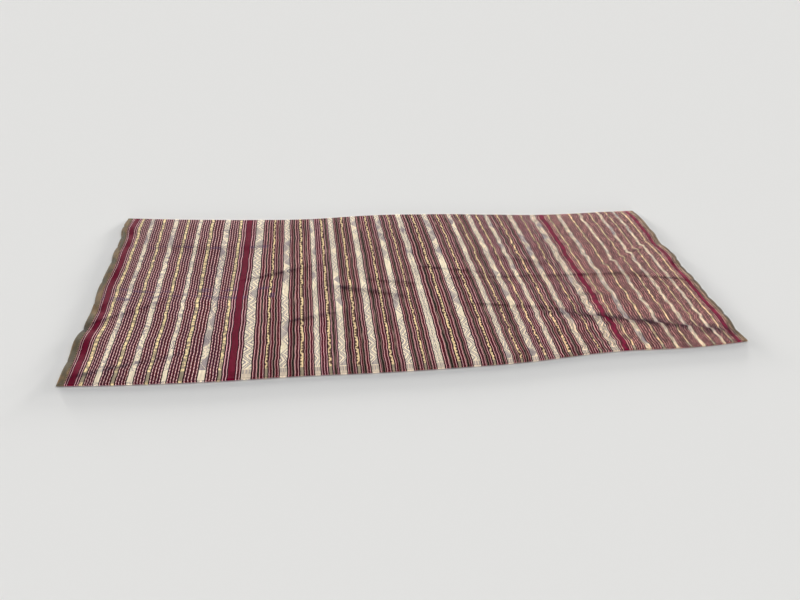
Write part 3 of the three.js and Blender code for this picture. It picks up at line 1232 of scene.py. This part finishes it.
# %% [markdown]
# ## The woven finish
#
# Now all of it comes together in one material. The bump is the weave: ribs along the stripes, crossed
# by the weft, with the figured bands standing a little higher, since their extra yarn lies on top.

# %% The striped weave material
WARP_RIB = 0.8
WEFT_RIB = 1.15
FIGURE_RELIEF = 0.8
BUMP_DEPTH = 0.0004
DRY_YARN = 0.92
DRY_YARN_SHINE = 0.06


def weave_bump(cloth):
    ribs = (cloth.along * (math.tau / WARP_RIB)).maths("SINE") * 0.5
    ribs = ribs + (cloth.around * (math.tau / WEFT_RIB)).maths("SINE") * 0.35
    figures = (cloth.chart["cream"] + cloth.chart["yellow"]) * FIGURE_RELIEF
    height = ribs + figures + cloth.grain("lint")
    return cloth.wire.node("ShaderNodeBump", {}, {"Strength": 0.25, "Distance": BUMP_DEPTH, "Height": height})


def striped_weave():
    material, wire, shader = start_finish("striped_weave", DYES["maroon"], DRY_YARN, DRY_YARN_SHINE)
    cloth = read_cloth(wire)
    chart = cloth.chart
    plain, cross_line, strokes = near_fold_ends(cloth)
    colour = dark_stripes(cloth, ground_yarn(cloth))
    burgundy = cloth.faded.blend(DYES["burgundy"], DYES["faded_burgundy"])
    colour = chart["burgundy"].blend(colour, burgundy)
    colour = chart["cream"].blend(colour, cream_yarn(cloth, plain, strokes))
    colour = (cross_line * chart["cream"]).blend(colour, DYES["cream"])
    colour = chart["yellow"].blend(colour, yellow_yarn(cloth, plain, cross_line))
    colour = bluish_bands(cloth, colour)
    settings = {"data_type": "RGBA", "blend_type": "MULTIPLY"}
    colour = wire.node("ShaderNodeMix", settings, {0: 1.0, 6: colour, 7: streaks_and_painted_shade(cloth)}, output=2)
    feed(colour, shader, "Base Color")
    feed(weave_bump(cloth), shader, "Normal")
    feed(cloth.grain("sheen") * 0.12 + 0.84, shader, "Roughness")
    return material


tube.data.materials.append(striped_weave())
print("striped weave:", len(tube.data.materials[0].node_tree.nodes), "nodes")

# %% [markdown]
# ## The end strips
#
# The strip round each mouth is a folded band of plain olive cotton, sewn to the woven cloth. It is
# older and softer than the rest, so its outer edge is drawn in here and there, and those notches get
# painted shade. The same sleeve function makes it, on the same lie as the cloth, so that the two meet
# at the seam. How deep each corner is in a notch is kept on the mesh as an attribute, and the finish
# paints shade there.

# %% Strip material and meshes
STRIP_ROWS = 6
STRIP_RIB = 0.9
# how much wider than its notch the painted shade is, and the depth of notch that is fully shaded
NOTCH_SHADE_SPREAD = 1.8
FULLY_SHADED_DEPTH = 3.6
DARKEST_NOTCH_SHADE = 0.9
STRIP_DYES = {
    "olive": linear(104, 94, 76),
    "brown": linear(144, 116, 84),
    "faded": linear(152, 122, 98),
    # the colour of the painted shade in the notches
    "notch_shadow": linear(66, 66, 64),
    "shadow": linear(82, 74, 58),
}


def olive_strip():
    material, wire, shader = start_finish("olive_strip", STRIP_DYES["olive"], DRY_YARN, DRY_YARN_SHINE)
    along, around, grain = flat_place(wire)
    wear_and_shade = grain("strip_fading").smooth(0.42, 0.62)
    colour = wear_and_shade.blend(STRIP_DYES["olive"], STRIP_DYES["brown"])
    colour = (along.smooth(FADED_FROM, FADED_TO) * 0.5).blend(colour, STRIP_DYES["faded"])
    # painted shade in the notches of the strip's outer edge
    notch_shadow = wire.node("ShaderNodeAttribute", {"attribute_name": "shade_in_notch"}, {}, output="Fac")
    notch_shadow = (notch_shadow * (grain("strip_dirt") + 0.4)).maths("MINIMUM", DARKEST_NOTCH_SHADE)
    colour = notch_shadow.blend(colour, STRIP_DYES["notch_shadow"])
    colour = (grain("strip_threads") * 0.5).blend(colour, STRIP_DYES["shadow"])
    feed(colour, shader, "Base Color")
    ribs = (along * (math.tau / STRIP_RIB)).maths("SINE") + (around * (math.tau / STRIP_RIB)).maths("SINE")
    height = ribs + grain("strip_lint")
    bump = wire.node("ShaderNodeBump", {}, {"Strength": 0.3, "Distance": BUMP_DEPTH, "Height": height})
    feed(bump, shader, "Normal")
    return material


def end_strip(name, start, end, notches):
    """A strip's sleeve, with the painted shade of its notches kept on the mesh."""
    made = sleeve(name, np.linspace(start, end, STRIP_ROWS + 1), 1, CLOTH_PLACES)
    # how much painted shade each notch gets, from its depth
    rows = [(at, depth / FULLY_SHADED_DEPTH, wide * NOTCH_SHADE_SPREAD) for at, depth, wide in notches]
    notch_shadow = np.tile(notch_depth(rows, CLOTH_PLACES[:, 0]), len(made.data.vertices) // len(CLOTH_PLACES))
    keep_on_mesh(made, "shade_in_notch", notch_shadow)
    return made


strip_finish = olive_strip()
left_cut = LEFT_STRIP - SEAM_GAP / 2
right_cut = RIGHT_STRIP - SEAM_GAP / 2
left_strip = end_strip("left_end_strip", 0, left_cut, LEFT_NOTCHES)
right_strip = end_strip("right_end_strip", LENGTH - right_cut, LENGTH, RIGHT_NOTCHES)
for strip in (left_strip, right_strip):
    strip.data.materials.append(strip_finish)
    print(strip.name, len(strip.data.polygons), "faces")

# %% [markdown]
# ## Sewing
#
# The strips are sewn on by hand with small overcast stitches, which go over the seam and down into the
# cloth on both sides. They are too small to be sculpted one by one. Each stitch is an arch of five
# points, laid by the same lying function a little above the cloth, and a thin tube goes round all the
# arches at once. A seeded random generator makes their steps and slants uneven, in the same way each
# time.

# %% Stitches over both seams
STITCH_STEP = 6.0
STITCH_REACH = 1.7
STITCH_SLANT = 1.2
STITCH_UNEVEN = 0.9
THREAD_RADIUS = 0.32
THREAD_SIDES = 6
THREAD_DYE = linear(150, 128, 98)
THREAD_ROUGHNESS = 0.85
THREAD_SHINE = 0.1
# a stitch from end to end: share of its reach, and millimetres above the cloth
ARCH = [(-1.0, -0.25), (-0.6, 0.2), (0.0, 0.4), (0.6, 0.2), (1.0, -0.25)]


def seam_stitches(name, seam, seed):
    """Stitches over one seam, on the upper layer. seam is in millimetres along."""
    random = np.random.default_rng(seed)
    count = int(WIDTH / STITCH_STEP) - 1
    middle = (np.arange(count) + 1) * STITCH_STEP + random.uniform(-STITCH_UNEVEN, STITCH_UNEVEN, count)
    slant = STITCH_SLANT * random.uniform(0.5, 1.5, count)
    path = []
    for reach, rise in ARCH:
        across = (middle + reach * slant) / WIDTH
        places = np.stack((across, across * 0, across * 0 + 1, across * WIDTH), -1)
        path.append(lying_points([seam + reach * STITCH_REACH], places, OUTER_ROUND + rise)[0])
    path = np.array(path)
    ahead = path[-1] - path[0]
    aside = np.stack((-ahead[:, 1], ahead[:, 0], ahead[:, 0] * 0), -1)
    aside = aside / np.linalg.norm(aside, axis=1, keepdims=True)
    turn = np.arange(THREAD_SIDES) * math.tau / THREAD_SIDES
    ring = np.cos(turn)[:, None] * aside[:, None, :] + np.sin(turn)[:, None] * np.array((0, 0, 1))
    points = path[:, :, None, :] + THREAD_RADIUS * MM * ring[None]
    return thread_mesh(name, points)


def thread_mesh(name, points):
    """One mesh from rings of points, with axes: along the path, stitch, round the thread."""
    steps, count, sides = points.shape[:3]
    number = np.arange(steps * count * sides).reshape(steps, count, sides)
    after = np.roll(number, -1, axis=2)
    quads = np.stack((number[:-1], after[:-1], after[1:], number[1:]), -1).reshape(-1, 4)
    caps = np.concatenate((number[0][:, ::-1], number[-1]))
    mesh = bpy.data.meshes.new(name)
    mesh.from_pydata(points.reshape(-1, 3).tolist(), [], quads.tolist() + caps.tolist())
    mesh.shade_smooth()
    return add_object(name, mesh)


thread = start_finish("sewing_thread", THREAD_DYE, THREAD_ROUGHNESS, THREAD_SHINE)[0]
left_stitches = seam_stitches("left_seam_stitches", LEFT_STRIP, 5)
right_stitches = seam_stitches("right_seam_stitches", LENGTH - RIGHT_STRIP, 8)
for stitches in (left_stitches, right_stitches):
    stitches.data.materials.append(thread)
    print(stitches.name, len(stitches.data.polygons), "faces")

# %% [markdown]
# ## Handing the pieces over
#
# Each piece rides on the skirt's one body, and each sheet stands for the plain solid that it covers.
# A strip is cut a little wider than it shows, because the seam takes some of it.

SEAM_ALLOWANCE = 3.0
pieces = [
    (tube, "woven_tube", "striped_weave", (ROUND_LENGTH, cloth_to - cloth_from)),
    (left_strip, "left_edge_binding", "edge_strip", (left_cut + SEAM_ALLOWANCE, ROUND_LENGTH)),
    (right_strip, "right_edge_binding", "edge_strip", (right_cut + SEAM_ALLOWANCE, ROUND_LENGTH)),
]
for piece, node, slot, cut in pieces:
    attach(piece, "root")
    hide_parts(node)
    cut[0] * MM
    cut[1] * MM
for stitches in (left_stitches, right_stitches):
    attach(stitches, "root")
